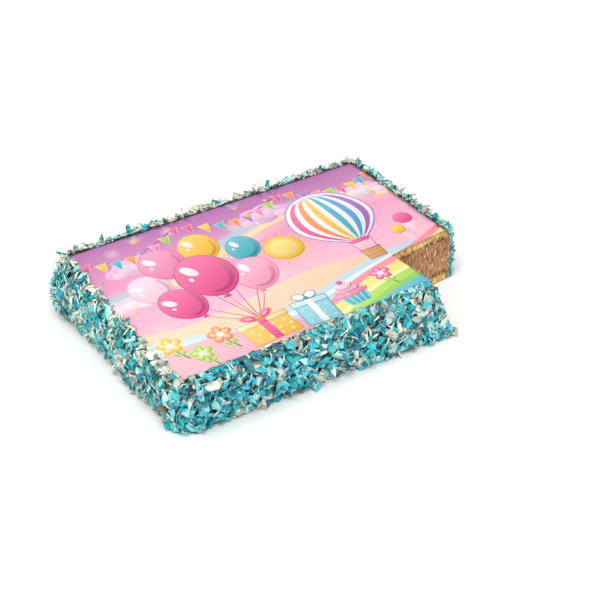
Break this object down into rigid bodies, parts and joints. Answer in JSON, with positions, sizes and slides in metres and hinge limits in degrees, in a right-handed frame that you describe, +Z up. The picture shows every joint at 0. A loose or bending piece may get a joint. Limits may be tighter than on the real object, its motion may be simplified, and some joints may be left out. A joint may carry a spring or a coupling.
{
  "type": "birthday cake",
  "caption": "Rectangular sheet cake of two sponges and a cream filling, with a printed top sheet, a coat of chocolate flakes on its sides and one corner piece cut out.",
  "frame": {"origin": "on the underside, straight below the middle of the printed sheet", "axes": "+X along the long side towards the side with the cut corner, -Y towards the front, +Z up"},
  "size_m": [0.3073, 0.2102, 0.0583],
  "materials": {
    "sponge": "dry golden sponge with open pores and a browned crust line",
    "filling": "airy light brown cream, soft satin",
    "print": "thin sugar sheet with an edible colour print, satin",
    "flakes": "teal blue and white chocolate flakes pressed into brown cream, semi-gloss"
  },
  "bodies": {
    "root": {"bottom_sponge": "sponge", "filling": "filling", "top_sponge": "sponge", "print_sheet": "print", "flake_coat": "flakes"}
  },
  "joints": []
}
